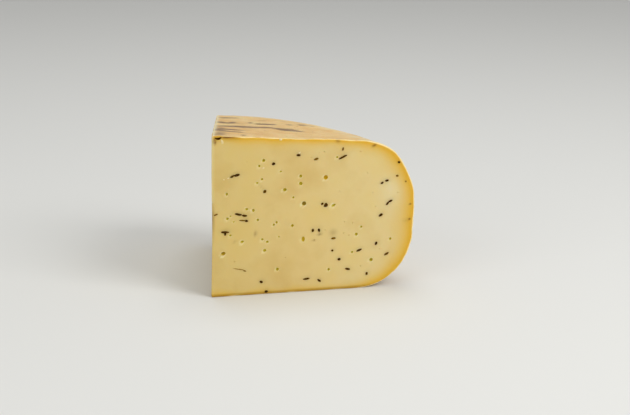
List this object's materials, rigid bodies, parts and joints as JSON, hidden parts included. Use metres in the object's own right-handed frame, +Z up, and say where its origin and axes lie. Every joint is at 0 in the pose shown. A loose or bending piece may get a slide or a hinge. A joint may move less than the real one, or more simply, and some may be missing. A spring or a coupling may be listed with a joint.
{
  "type": "gouda quarter wheel with cumin",
  "caption": "Quarter of a round hard cheese, cut straight to its middle, with a flat base, rounded rind edges and small round eyes in the cut faces.",
  "frame": {"origin": "middle of the bottom of the bounding box, on the flat base", "axes": "+Z up, the first cut faces -Y, and the round rind side faces +X and +Y"},
  "size_m": [0.1248, 0.1212, 0.0979],
  "materials": {
    "paste": "satin cut cheese paste with a tan rind"
  },
  "bodies": {
    "root": {"cheese": "paste"}
  },
  "joints": []
}
